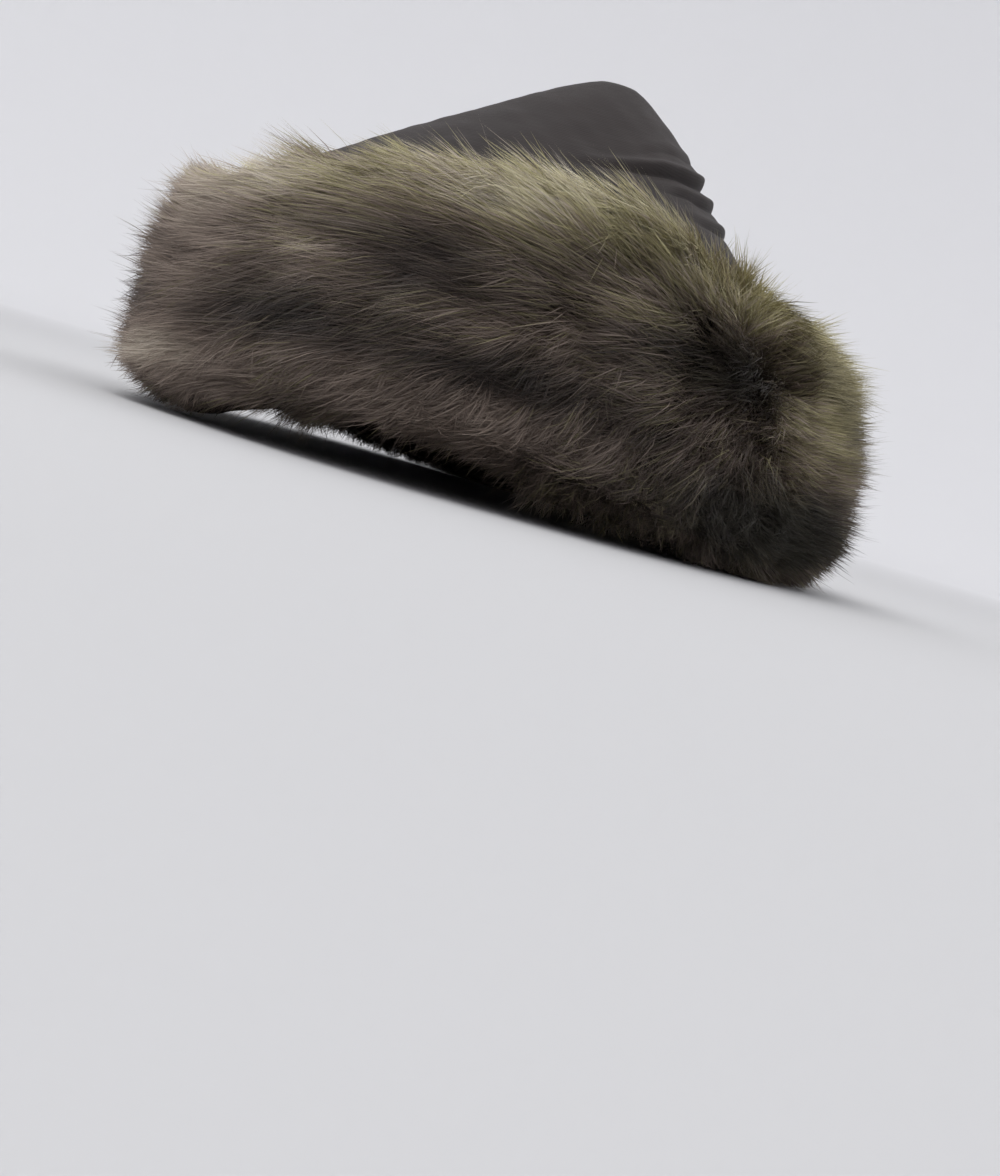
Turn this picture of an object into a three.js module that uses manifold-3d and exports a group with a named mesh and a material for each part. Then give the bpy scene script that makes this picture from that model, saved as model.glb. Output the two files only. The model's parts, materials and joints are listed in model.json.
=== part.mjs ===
// A fur-trimmed hat: a soft peaked crown of plain cloth that slumps into folds at the back, with a deep
// turned-up fur cuff round it. Millimetres, +Z up. The front of the hat looks along -Y, the wearer's left
// side is +X, and the origin is on the surface that the hat rests on, under the middle of its outline.
import * as THREE from "three";
import { mergeVertices } from "three/addons/utils/BufferGeometryUtils.js";
import Module from "manifold-3d";

const wasm = await Module();
wasm.setup();

// The head opening, which is an oval inside the cloth
const OPENING_LENGTH = 192;
const OPENING_WIDTH = 158;
const CLOTH_WALL = 2;
const SEAT_GAP = 0.3; // between the cloth and the back of the fur cuff

// The crown
const PEAK_BACK = 21; // the peak stands this far behind the middle of the opening
const PEAK_HEIGHT = 144;
const SHOULDER_FRONT = 72; // height at which the cloth turns in from the upright wall
const SHOULDER_BACK = 69;
const HEM_LIFT = 5; // the cloth's hem sits this far above the foot of the fur
const SLOPE_FRONT = 1.02; // 1 is a straight slope from shoulder to peak, and more is rounder
const SLOPE_BACK = 1.26;
const PEAK_BLUNTNESS = 0.08;
const FOLD_DROOP = 0.5; // how far the folds sink on their way round to the front

// Each fold is a lip that hangs over a crease. The level runs from 0 at the shoulder to 1 at the peak,
// and a fold is full at the back and has died out at reachTo, in degrees from the front.
const FOLDS = [
  { level: 0.754, lip: 0.8, crease: 0.5, reachTo: 62 },
  { level: 0.657, lip: 1.2, crease: 1.4, reachTo: 50 },
  { level: 0.56, lip: 1.1, crease: 1.1, reachTo: 84 },
  { level: 0.463, lip: 1.0, crease: 0.9, reachTo: 96 },
];
const FOLD_PITCH = 0.097; // in levels, from one lip to the next
const LIP_EDGE = 0.012; // the step from lip to crease takes this much of a level each way
const FOLD_FADE = 34; // degrees over which a fold dies out

// The fur cuff: the height of its foot and crest and how far it stands out. The turn is in degrees from the
// front towards the wearer's left. It rests at the front and the back, and arches up over the ears.
const CUFF_SECTIONS = [
  { turn: 0, foot: 0, crest: 74, reach: 27 },
  { turn: 22.5, foot: 9, crest: 84, reach: 29 },
  { turn: 45, foot: 15, crest: 93, reach: 31 },
  { turn: 67.5, foot: 12, crest: 94, reach: 32 },
  { turn: 90, foot: 5, crest: 92, reach: 33 },
  { turn: 112.5, foot: 0, crest: 90, reach: 34 },
  { turn: 135, foot: 0, crest: 88, reach: 36 },
  { turn: 157.5, foot: 0, crest: 87, reach: 37 },
  { turn: 180, foot: 0, crest: 87, reach: 37 },
  { turn: 202.5, foot: 0, crest: 87, reach: 37 },
  { turn: 225, foot: 0, crest: 87, reach: 36 },
  { turn: 247.5, foot: 4, crest: 88, reach: 34 },
  { turn: 270, foot: 9, crest: 89, reach: 32 },
  { turn: 292.5, foot: 11, crest: 88, reach: 30 },
  { turn: 315, foot: 8, crest: 82, reach: 27 },
  { turn: 337.5, foot: 2, crest: 76, reach: 26 },
];

// The cuff's cross-section, in shares of its reach and of its height, once round from the inner foot
const CUFF_OUTLINE = [
  { out: 0.0, up: 0.12 },
  { out: 0.16, up: 0.0 },
  { out: 0.56, up: 0.0 },
  { out: 0.87, up: 0.06 },
  { out: 1.0, up: 0.24 },
  { out: 0.98, up: 0.5 },
  { out: 0.82, up: 0.71 },
  { out: 0.53, up: 0.86 },
  { out: 0.22, up: 0.97 },
  { out: 0.03, up: 0.96 },
  { out: 0.0, up: 0.66 },
];
const CUFF_OUTLINE_STEPS = 16;

// The fur's locks stand in rings up the outside of the cuff. The place is a share of the way round the
// outline, and the fan is how far a lock's tip turns up from the way round the hat, in degrees.
const LOCK_RINGS = [
  { place: 0.2, fan: -30, count: 20, length: 28 },
  { place: 0.3, fan: -20, count: 20, length: 32 },
  { place: 0.39, fan: -6, count: 22, length: 34 },
  { place: 0.49, fan: 12, count: 22, length: 34 },
  { place: 0.58, fan: 30, count: 22, length: 30 },
  { place: 0.66, fan: 46, count: 20, length: 21 },
];
const LOCK_HALF_WIDTH = 8;
const LOCK_HALF_THICKNESS = 4.5;
const LOCK_FULLNESS = 0.3; // 0 is a straight cone, and more keeps its width further along
const LOCK_SINK = 2.5; // the root's middle lies this far under the cuff's surface
const LOCK_LIFT = 5; // and the tip rises this far above it
const LOCK_SIDES = 4;
const LOCK_STEPS = 2;
const ROOT_SPREAD_ROUND = 0.25; // how far a root may be out of place, as a share of the spacing in its ring
const ROOT_SPREAD_UP = 0.015; // and as a share of the way round the outline
const FAN_SPREAD = 14; // degrees that a lock may lie away from its ring's fan
const SIZE_SPREAD = 0.2; // and the share by which its length may differ
const LOCK_SEED = 1;

const STEPS_ROUND = 48;
const FULL_TURN = Math.PI * 2;

const clothMaterial = new THREE.MeshStandardMaterial({
  color: 0x4d4645,
  roughness: 0.62,
  metalness: 0,
  name: "crown_cloth",
});
const furMaterial = new THREE.MeshStandardMaterial({
  color: 0x5d544a,
  roughness: 0.9,
  metalness: 0,
  name: "fur",
});

const degrees = THREE.MathUtils.degToRad;

// How far a place lies from the front, from 0 at the front to 180 degrees at the back, on either side.
function degreesFromFront(angle) {
  return THREE.MathUtils.radToDeg(Math.acos(Math.cos(angle)));
}

// 1 at the front and 0 at the back.
function frontShare(angle) {
  return (1 + Math.cos(angle)) / 2;
}

// A point of the head oval, moved out square to it. The angle runs from the front towards the left.
function ovalPoint(angle, out, height) {
  const halfWidth = OPENING_WIDTH / 2;
  const halfLength = OPENING_LENGTH / 2;
  const square = new THREE.Vector3(
    halfLength * Math.sin(angle),
    -halfWidth * Math.cos(angle),
    0,
  ).normalize();
  return new THREE.Vector3(
    halfWidth * Math.sin(angle),
    -halfLength * Math.cos(angle),
    height,
  ).addScaledVector(square, out);
}

// One column of the cuff's table at an angle, on a smooth curve through its rows.
function cuffSize(angle, column) {
  const rows = CUFF_SECTIONS.length;
  const place = (THREE.MathUtils.euclideanModulo(angle, FULL_TURN) / FULL_TURN) * rows;
  const row = Math.floor(place);
  const [a, b, c, d] = [-1, 0, 1, 2].map(
    (step) => CUFF_SECTIONS[(row + step + rows) % rows][column],
  );
  const t = place - row;
  const slopeB = (c - a) / 2;
  const slopeC = (d - b) / 2;
  const size =
    b +
    t * slopeB +
    t * t * (3 * (c - b) - 2 * slopeB - slopeC) +
    t * t * t * (2 * (b - c) + slopeB + slopeC);
  return THREE.MathUtils.clamp(size, Math.min(b, c), Math.max(b, c));
}

const cuffOutline = new THREE.CatmullRomCurve3(
  CUFF_OUTLINE.map(({ out, up }) => new THREE.Vector3(out, up, 0)),
  true,
  "centripetal",
);

// A point of the cuff's surface: angle round the hat, and the share of the way round its outline.
function cuffPoint(angle, place) {
  const { x: out, y: up } = cuffOutline.getPoint(
    THREE.MathUtils.euclideanModulo(place, 1),
  );
  const foot = cuffSize(angle, "foot");
  const height = cuffSize(angle, "crest") - foot;
  return ovalPoint(
    angle,
    CLOTH_WALL + cuffSize(angle, "reach") * Math.max(0, out),
    foot + height * Math.max(0, up),
  );
}

// How far the folds push the cloth out or in, at an angle and a level of the crown.
function foldDepth(angle, level) {
  const turn = degreesFromFront(angle);
  let depth = 0;
  for (const fold of FOLDS) {
    const fade = THREE.MathUtils.smoothstep(
      turn,
      fold.reachTo,
      fold.reachTo + FOLD_FADE,
    );
    const below = fold.level - level; // above the lip this is negative
    const hang = THREE.MathUtils.smoothstep(
      -below,
      LIP_EDGE,
      FOLD_PITCH - LIP_EDGE,
    );
    const tuck = THREE.MathUtils.smoothstep(
      below,
      LIP_EDGE,
      FOLD_PITCH - LIP_EDGE,
    );
    const step = THREE.MathUtils.smoothstep(below, -LIP_EDGE, LIP_EDGE);
    depth +=
      fade *
      (fold.lip * (1 - hang) * (1 - step) - fold.crease * (1 - tuck) * step);
  }
  return depth;
}

// The crown's own surface without its folds. The level is -1 at the hem, 0 at the shoulder, 1 at the peak.
function crownSurface(angle, level) {
  const front = frontShare(angle);
  const shoulder = THREE.MathUtils.lerp(SHOULDER_BACK, SHOULDER_FRONT, front);
  if (level < 0) {
    const hem = cuffSize(angle, "foot") + HEM_LIFT;
    return ovalPoint(
      angle,
      CLOTH_WALL,
      THREE.MathUtils.lerp(shoulder, hem, -level),
    );
  }
  const rise = level - FOLD_DROOP * front * level * (1 - level);
  const slope = THREE.MathUtils.lerp(SLOPE_BACK, SLOPE_FRONT, front);
  const blunt = PEAK_BLUNTNESS;
  const sharp =
    (1 - rise) ** (1 / slope) * (Math.sqrt(1 + blunt * blunt) - blunt);
  const spread = Math.sqrt((sharp + blunt) ** 2 - blunt * blunt);
  const edge = ovalPoint(angle, CLOTH_WALL, 0);
  return new THREE.Vector3(
    edge.x * spread,
    PEAK_BACK + (edge.y - PEAK_BACK) * spread,
    THREE.MathUtils.lerp(shoulder, PEAK_HEIGHT, rise),
  );
}

// A point of the crown's cloth, some way in from its outside.
function crownPoint(angle, level, inwards) {
  const small = 0.004;
  const square = new THREE.Vector3().crossVectors(
    crownSurface(angle + small, level).sub(crownSurface(angle - small, level)),
    crownSurface(angle, Math.min(level + small, 0.999)).sub(
      crownSurface(angle, level - small),
    ),
  );
  return crownSurface(angle, level).addScaledVector(
    square.normalize(),
    foldDepth(angle, level) - inwards,
  );
}

// A skin over rings of points that have the same number each. It closes on itself, or on two end points.
function skin(rings, ends) {
  const around = rings[0].length;
  const points = [...rings.flat(), ...(ends ?? [])];
  const faces = [];
  const bands = ends ? rings.length - 1 : rings.length;
  for (let i = 0; i < bands; i++) {
    const here = i * around;
    const next = ((i + 1) % rings.length) * around;
    for (let j = 0; j < around; j++) {
      const k = (j + 1) % around;
      faces.push(here + j, next + k, here + k);
      faces.push(here + j, next + j, next + k);
    }
  }
  if (ends) {
    const first = rings.length * around;
    const lastRing = first - around;
    for (let j = 0; j < around; j++) {
      const k = (j + 1) % around;
      faces.push(first, j, k);
      faces.push(first + 1, lastRing + k, lastRing + j);
    }
  }
  const geometry = new THREE.BufferGeometry().setFromPoints(points);
  geometry.setIndex(faces);
  return geometry;
}

const aroundTheHat = Array.from(
  { length: STEPS_ROUND },
  (_, i) => (i / STEPS_ROUND) * FULL_TURN,
);

const LIP_SHARE = LIP_EDGE / FOLD_PITCH;
const OUTSIDE_SHARES = [-0.5, -LIP_SHARE, LIP_SHARE, 0.28];
const INSIDE_SHARES = [-LIP_SHARE, LIP_SHARE];

// The levels at which the crown's rings lie: each fold has its lip, its crease and the cloth between.
function crownLevels(sharesOfAFold) {
  const upright = [-1, 0, 0.12, 0.27];
  const folded = FOLDS.toReversed().flatMap(({ level }) =>
    sharesOfAFold.map((share) => level + share * FOLD_PITCH),
  );
  return [...upright, ...folded, 0.86, 0.93, 0.975];
}

// The crown is one sheet of cloth: outside from the peak down to the hem, then back up the inside.
function makeCrown() {
  const outside = crownLevels(OUTSIDE_SHARES).toReversed();
  const inside = crownLevels(INSIDE_SHARES);
  const ring = (level, inwards) =>
    aroundTheHat.map((angle) => crownPoint(angle, level, inwards));
  const peak = (inwards) =>
    new THREE.Vector3(0, PEAK_BACK, PEAK_HEIGHT - inwards);
  const rings = [
    ...outside.map((level) => ring(level, 0)),
    ...inside.map((level) => ring(level, CLOTH_WALL)),
  ];
  const crown = new THREE.Mesh(
    skin(rings, [peak(0), peak(CLOTH_WALL)]),
    clothMaterial,
  );
  crown.name = "crown";
  return crown;
}

// The cuff's surface at a point: the ways round towards the front, up and out, and how far a turn of one
// radian and a whole trip round the outline would move the point.
function cuffFrame(angle, place) {
  const small = 0.01;
  const point = cuffPoint(angle, place);
  const round = cuffPoint(angle - small, place).sub(
    cuffPoint(angle + small, place),
  );
  const up = cuffPoint(angle, place + small).sub(
    cuffPoint(angle, place - small),
  );
  const roundSpeed = round.length() / (2 * small);
  const upSpeed = up.length() / (2 * small);
  round.normalize();
  up.normalize();
  const out = new THREE.Vector3().crossVectors(up, round).normalize();
  return { point, round, up, out, roundSpeed, upSpeed };
}

// A number from -1 to 1 that is always the same for the same lock and use.
function spread(lock, use) {
  return 2 * THREE.MathUtils.seededRandom(lock * 17 + use * 7919 + LOCK_SEED) - 1;
}

// One lock of fur: a flat cone bent along the cuff's surface, sunk in it at the root and free at the tip.
function makeLock(angle, place, fan, length) {
  const geometry = new THREE.ConeGeometry(1, 1, LOCK_SIDES, LOCK_STEPS);
  const position = geometry.getAttribute("position");
  const root = cuffFrame(angle, place);
  const turnPerStep = (length * Math.cos(degrees(fan))) / root.roundSpeed;
  const placePerStep = (length * Math.sin(degrees(fan))) / root.upSpeed;
  for (let i = 0; i < position.count; i++) {
    const toTip = position.getY(i) + 0.5;
    const swell = toTip < 1 ? (1 - toTip) ** -LOCK_FULLNESS : 0;
    const here = cuffFrame(
      angle - turnPerStep * toTip,
      place + placePerStep * toTip,
    );
    const aside = new THREE.Vector3()
      .addScaledVector(here.up, Math.cos(degrees(fan)))
      .addScaledVector(here.round, -Math.sin(degrees(fan)));
    const rise = THREE.MathUtils.lerp(-LOCK_SINK, LOCK_LIFT, toTip);
    here.point
      .addScaledVector(aside, LOCK_HALF_WIDTH * swell * position.getX(i))
      .addScaledVector(
        here.out,
        rise + LOCK_HALF_THICKNESS * swell * position.getZ(i),
      );
    position.setXYZ(i, here.point.x, here.point.y, here.point.z);
  }
  return geometry;
}

// A closed solid for joining, from a geometry's positions alone.
function solidFrom(geometry) {
  const bare = geometry.clone();
  bare.deleteAttribute("normal");
  bare.deleteAttribute("uv");
  const merged = mergeVertices(bare, 1e-3);
  return new wasm.Manifold(
    new wasm.Mesh({
      numProp: 3,
      vertProperties: new Float32Array(merged.getAttribute("position").array),
      triVerts: new Uint32Array(merged.index.array),
    }),
  );
}

function geometryFrom(solid) {
  const { vertProperties, triVerts } = solid.getMesh();
  return new THREE.BufferGeometry()
    .setAttribute("position", new THREE.BufferAttribute(vertProperties, 3))
    .setIndex(new THREE.BufferAttribute(triVerts, 1));
}

// What the hat rests on, which presses the fur at the foot flat.
function makeSurface() {
  const side = 600;
  const depth = 60;
  return solidFrom(
    new THREE.BoxGeometry(side, side, depth).translate(0, 0, -depth / 2),
  );
}

// The space that the crown takes up inside the cuff: its filled outside, a little larger all round.
function makeSeat() {
  const bottom = -10;
  const levels = crownLevels(OUTSIDE_SHARES).filter((level) => level >= 0);
  const rings = levels
    .toReversed()
    .map((level) => aroundTheHat.map((angle) => crownPoint(angle, level, -SEAT_GAP)));
  rings.push(
    aroundTheHat.map((angle) => ovalPoint(angle, CLOTH_WALL + SEAT_GAP, bottom)),
  );
  const ends = [
    new THREE.Vector3(0, PEAK_BACK, PEAK_HEIGHT + SEAT_GAP),
    new THREE.Vector3(0, 0, bottom),
  ];
  return solidFrom(skin(rings, ends));
}

// Crossing locks shut small bubbles in between them. They are filled by keeping the outer skin alone.
function outerSkin(solid) {
  const skins = solidFrom(geometryFrom(solid)).decompose();
  const widest = skins.reduce((a, b) => (b.volume() > a.volume() ? b : a));
  return skins.length > 1 ? outerSkin(widest) : widest;
}

// The fur cuff: a padded roll round the crown with its locks fused to it.
function makeFurCuff() {
  const rings = aroundTheHat.map((angle) =>
    Array.from({ length: CUFF_OUTLINE_STEPS }, (_, j) =>
      cuffPoint(angle, j / CUFF_OUTLINE_STEPS),
    ),
  );
  let fur = solidFrom(skin(rings));
  let lock = 0;
  LOCK_RINGS.forEach(({ place, fan, count, length }, ringNumber) => {
    for (let i = 0; i < count; i++) {
      lock += 1;
      const stagger = (ringNumber % 2) / 2 + spread(lock, 1) * ROOT_SPREAD_ROUND;
      const made = makeLock(
        ((i + stagger) / count) * FULL_TURN,
        place + spread(lock, 2) * ROOT_SPREAD_UP,
        fan + spread(lock, 3) * FAN_SPREAD,
        length * (1 + spread(lock, 4) * SIZE_SPREAD),
      );
      fur = fur.add(solidFrom(made));
    }
  });
  fur = fur.subtract(makeSurface()).subtract(makeSeat());

  const cuff = new THREE.Mesh(geometryFrom(outerSkin(fur)), furMaterial);
  cuff.name = "fur_cuff";
  return cuff;
}

const hat = new THREE.Group();
hat.add(makeCrown(), makeFurCuff());

// The locks make the outline a little uneven, so the origin is put under its middle last.
const middle = new THREE.Box3().setFromObject(hat).getCenter(new THREE.Vector3());
for (const piece of hat.children) {
  piece.position.set(-middle.x, -middle.y, 0);
}

export default hat;
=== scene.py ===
"""A soft peaked hat of dark cloth with a deep turned-up cuff of long fur, standing on its rim.

Shapes are worked out in millimetres about the middle of the head opening, at floor level, and moved to their
place in metres at the end. An angle round the hat, called a turn, runs from the front (-Y) towards the
wearer's left (+X).
"""

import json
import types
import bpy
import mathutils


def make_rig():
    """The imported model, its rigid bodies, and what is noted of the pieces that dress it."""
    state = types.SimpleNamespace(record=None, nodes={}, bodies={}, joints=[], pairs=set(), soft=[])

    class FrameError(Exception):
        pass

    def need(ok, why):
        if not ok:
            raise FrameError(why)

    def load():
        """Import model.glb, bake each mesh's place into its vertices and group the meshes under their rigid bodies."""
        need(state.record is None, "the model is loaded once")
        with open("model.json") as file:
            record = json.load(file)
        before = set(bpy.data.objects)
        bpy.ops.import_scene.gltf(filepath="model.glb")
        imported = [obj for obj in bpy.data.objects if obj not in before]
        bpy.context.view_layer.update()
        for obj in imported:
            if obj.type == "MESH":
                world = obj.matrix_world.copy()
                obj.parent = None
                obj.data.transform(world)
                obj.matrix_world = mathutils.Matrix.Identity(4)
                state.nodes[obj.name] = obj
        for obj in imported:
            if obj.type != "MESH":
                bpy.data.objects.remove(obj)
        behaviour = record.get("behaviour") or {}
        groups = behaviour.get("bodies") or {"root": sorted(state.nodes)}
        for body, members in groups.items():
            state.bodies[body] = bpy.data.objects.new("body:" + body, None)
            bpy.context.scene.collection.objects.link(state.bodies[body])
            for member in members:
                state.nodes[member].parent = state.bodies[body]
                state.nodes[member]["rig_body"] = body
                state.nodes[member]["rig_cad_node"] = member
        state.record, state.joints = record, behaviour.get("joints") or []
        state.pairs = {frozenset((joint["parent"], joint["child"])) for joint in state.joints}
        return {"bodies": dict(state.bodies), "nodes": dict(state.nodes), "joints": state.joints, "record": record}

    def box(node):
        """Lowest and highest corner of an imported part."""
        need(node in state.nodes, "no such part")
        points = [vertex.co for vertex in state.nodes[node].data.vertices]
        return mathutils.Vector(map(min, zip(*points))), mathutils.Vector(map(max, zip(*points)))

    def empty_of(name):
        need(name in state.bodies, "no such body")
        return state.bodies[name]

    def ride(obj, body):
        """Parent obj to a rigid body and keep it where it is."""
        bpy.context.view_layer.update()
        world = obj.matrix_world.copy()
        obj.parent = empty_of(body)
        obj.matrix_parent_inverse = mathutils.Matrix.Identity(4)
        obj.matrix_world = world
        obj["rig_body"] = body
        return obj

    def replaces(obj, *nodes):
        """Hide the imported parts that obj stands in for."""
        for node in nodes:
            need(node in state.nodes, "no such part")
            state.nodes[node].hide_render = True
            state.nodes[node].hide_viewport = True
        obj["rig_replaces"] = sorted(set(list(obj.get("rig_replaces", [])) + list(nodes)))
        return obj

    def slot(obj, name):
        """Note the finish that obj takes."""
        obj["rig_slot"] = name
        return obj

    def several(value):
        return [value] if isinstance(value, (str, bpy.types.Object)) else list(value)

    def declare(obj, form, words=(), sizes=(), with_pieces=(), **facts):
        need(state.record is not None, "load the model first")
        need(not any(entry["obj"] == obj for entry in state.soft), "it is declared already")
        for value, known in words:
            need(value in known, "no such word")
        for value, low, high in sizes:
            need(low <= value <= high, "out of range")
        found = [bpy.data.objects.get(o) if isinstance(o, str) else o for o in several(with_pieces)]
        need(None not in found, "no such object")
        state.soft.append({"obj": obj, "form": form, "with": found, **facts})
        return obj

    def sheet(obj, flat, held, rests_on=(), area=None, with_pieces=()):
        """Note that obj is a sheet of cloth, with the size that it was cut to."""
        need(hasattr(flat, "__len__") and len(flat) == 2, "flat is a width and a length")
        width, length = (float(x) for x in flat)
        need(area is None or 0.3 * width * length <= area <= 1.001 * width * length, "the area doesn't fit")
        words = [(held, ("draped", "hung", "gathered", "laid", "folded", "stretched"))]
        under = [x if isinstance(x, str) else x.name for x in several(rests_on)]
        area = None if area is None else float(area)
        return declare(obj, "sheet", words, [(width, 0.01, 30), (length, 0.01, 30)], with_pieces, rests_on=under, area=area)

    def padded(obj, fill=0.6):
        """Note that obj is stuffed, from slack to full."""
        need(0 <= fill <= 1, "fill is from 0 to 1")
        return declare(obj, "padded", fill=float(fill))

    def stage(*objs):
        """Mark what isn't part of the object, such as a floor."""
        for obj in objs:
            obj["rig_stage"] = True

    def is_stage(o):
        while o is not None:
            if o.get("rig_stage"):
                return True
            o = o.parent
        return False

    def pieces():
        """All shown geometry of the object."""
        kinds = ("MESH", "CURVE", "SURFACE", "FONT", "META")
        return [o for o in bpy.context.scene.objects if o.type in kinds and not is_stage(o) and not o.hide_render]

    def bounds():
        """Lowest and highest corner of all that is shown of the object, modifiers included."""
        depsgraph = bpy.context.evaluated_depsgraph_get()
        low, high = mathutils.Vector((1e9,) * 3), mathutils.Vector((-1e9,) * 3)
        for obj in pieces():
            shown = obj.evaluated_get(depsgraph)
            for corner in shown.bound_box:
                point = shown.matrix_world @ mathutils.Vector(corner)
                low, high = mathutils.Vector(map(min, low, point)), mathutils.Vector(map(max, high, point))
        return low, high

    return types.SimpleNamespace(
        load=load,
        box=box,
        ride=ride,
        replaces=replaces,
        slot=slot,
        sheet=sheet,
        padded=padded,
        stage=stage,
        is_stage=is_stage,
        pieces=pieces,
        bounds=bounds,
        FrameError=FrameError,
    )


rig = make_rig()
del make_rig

bl_info = {
    "name": "Fur-Trimmed Hat",
    "version": (1, 0, 0),
    "blender": (4, 5, 0),
    "location": "View3D > Sidebar > Hat",
    "description": "Builds a soft peaked cloth hat with a deep cuff of long fur, and its stage",
    "category": "Object",
}

import json
import math
from types import SimpleNamespace

import bpy
import numpy as np
from bpy.props import FloatProperty, FloatVectorProperty, IntProperty, PointerProperty
from bpy.types import Operator, Panel, PropertyGroup
from mathutils import Matrix, Vector

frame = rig.load()
CAD_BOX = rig.bounds()
# The middle of the head opening, on the floor, in metres.
MIDDLE = np.mean(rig.box("crown"), axis=0) * (1, 1, 0)
MM = 0.001
FULL_TURN = 2 * math.pi

# The head opening and the cloth.
OPENING_HALF_WIDTH = 79.0
OPENING_HALF_LENGTH = 96.0
CLOTH_WALL = 2.0

# The crown's slopes.
PEAK_BACK = 21.0
PEAK_HEIGHT = 141.6
SHOULDER_FRONT = 72.0
SHOULDER_BACK = 69.0
HEM_LIFT = 5.0
SLOPE_FRONT = 1.02
SLOPE_BACK = 1.31
PEAK_BLUNTNESS = 0.08
FOLD_DROOP = 0.5

# The creases between the draped folds at the back: level up the slope, depth in mm, how far the crease droops
# on its way to the front, and the turn in degrees from which it begins to show and at which it is whole.
CREASES = (
    # level, depth, droop, begins, whole
    (0.743, 0.55, 0.76, 70.0, 112.0),
    (0.655, 2.0, 0.43, 48.0, 96.0),
    (0.576, 1.35, 0.43, 82.0, 116.0),
    (0.476, 1.20, 0.43, 90.0, 124.0),
)
DROOP_FROM = 0.35  # in shares of the way from back to front: behind this a crease is level
TUCK_LENGTH = 0.010  # in levels: how soon the cloth above a crease is back from its tuck
LIP_LENGTH = 0.022  # and the cloth below it

# The fur cuff at 16 even turns, in mm: foot and crest above the floor, and reach out from the cloth.
CUFF_SECTIONS = np.transpose(
    [
        (1, 9, 15, 12, 5, 0, 0, 0, 0, 0, 0, 4, 9, 12, 11, 7),
        (73, 84, 93, 94, 92, 90, 88, 87, 87, 87, 87, 88, 89, 86, 79, 73),
        (25, 29, 31, 32, 33, 34, 36, 37, 37, 37, 36, 34, 32, 28, 23, 21.5),
    ]
)
# Its cross-section from its inner wall under the foot and up: out in shares of the reach, up in shares of the
# height.
CUFF_OUTLINE = np.transpose(
    [
        (0.0, 0.16, 0.56, 0.87, 1.0, 0.98, 0.82, 0.53, 0.22, 0.03, 0.0),
        (0.12, 0.0, 0.0, 0.06, 0.24, 0.5, 0.71, 0.86, 0.97, 0.96, 0.66),
    ]
)
TYPICAL_REACH = 33.0
TYPICAL_HEIGHT = 86.0


def ease(x, low, high):
    """0 up to low, 1 from high, and 3t^2 - 2t^3 between."""
    t = np.clip((np.asarray(x, float) - low) / (high - low), 0, 1)
    return t * t * (3 - 2 * t)


def mix(a, b, share):
    """share of the way from a to b."""
    return a + (b - a) * share


def bell(x, middle, width):
    """1 at the middle and e^-1 a width away from it."""
    return np.exp(-(((x - middle) / width) ** 2))


def unit(vectors):
    """Vectors scaled to length 1."""
    return vectors / np.maximum(np.linalg.norm(vectors, axis=-1, keepdims=True), 1e-12)


def wrapped(turn, start):
    """Turns in degrees, between start and start + 360."""
    return np.mod(np.degrees(turn) - start, 360.0) + start


def oval_point(turn, out, height):
    """The head oval (half width x sin turn, -half length x cos turn) at a height, moved out along its
    normal."""
    square = unit(np.stack([OPENING_HALF_LENGTH * np.sin(turn), -OPENING_HALF_WIDTH * np.cos(turn)], axis=-1))
    x = OPENING_HALF_WIDTH * np.sin(turn) + out * square[..., 0]
    y = -OPENING_HALF_LENGTH * np.cos(turn) + out * square[..., 1]
    return np.stack([x, y, np.broadcast_to(height, x.shape)], axis=-1)


def neighbours(table, place):
    """How far a place is on from its row of a closed table, the row before, that row and the two after."""
    row = np.floor(place).astype(int)
    return (place - row)[:, None], [table[(row + step) % len(table)] for step in (-1, 0, 1, 2)]


def hermite(t, b, c, slope_b, slope_c):
    """The cubic from b to c that has the given slopes there."""
    curve = b + t * slope_b + t**2 * (3 * (c - b) - 2 * slope_b - slope_c)
    return curve + t**3 * (2 * (b - c) + slope_b + slope_c)


def section_table(steps=1440):
    """Foot, crest and reach at even turns: Hermite curves through the rows, with each slope half the step
    between the row's neighbours, held between the two rows."""
    t, (a, b, c, d) = neighbours(CUFF_SECTIONS, np.arange(steps) / steps * len(CUFF_SECTIONS))
    return np.clip(hermite(t, b, c, (c - a) / 2, (d - b) / 2), np.minimum(b, c), np.maximum(b, c))


def outline_table(steps=64):
    """The cuff's closed cross-section as (run, out, up): a centripetal Catmull-Rom curve through
    CUFF_OUTLINE, with run the length in mm along a section of typical size."""
    t, (p0, p1, p2, p3) = neighbours(CUFF_OUTLINE, np.arange(len(CUFF_OUTLINE) * steps) / steps)
    d0, d1, d2 = (np.sqrt(np.linalg.norm(q - p, axis=1))[:, None] for p, q in ((p0, p1), (p1, p2), (p2, p3)))
    slope_1 = ((p1 - p0) / d0 - (p2 - p0) / (d0 + d1) + (p2 - p1) / d1) * d1
    slope_2 = ((p2 - p1) / d1 - (p3 - p1) / (d1 + d2) + (p3 - p2) / d2) * d1
    point = hermite(t, p1, p2, slope_1, slope_2)
    point = np.vstack([point, point[:1]])
    steps_mm = np.linalg.norm(np.diff(point * (TYPICAL_REACH, TYPICAL_HEIGHT), axis=0), axis=1)
    return np.column_stack([np.concatenate([[0], np.cumsum(steps_mm)]), point])


# Foot, crest and reach of the cuff's section at the even turns of SECTION_TURNS, and its outline.
SECTIONS = section_table()
SECTION_TURNS = np.arange(len(SECTIONS) + 1) / len(SECTIONS) * FULL_TURN
SECTIONS = np.vstack([SECTIONS, SECTIONS[:1]])
OUTLINE = outline_table()
AROUND = OUTLINE[-1, 0]


def run_at(place):
    """The run at a place given in shares of the cross-section's points."""
    return OUTLINE[int(round(place * (len(OUTLINE) - 1))), 0]


def section_at(turn, column):
    """One column of the cuff's sections at any turns."""
    return np.interp(np.mod(turn, FULL_TURN), SECTION_TURNS, SECTIONS[:, column])


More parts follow.
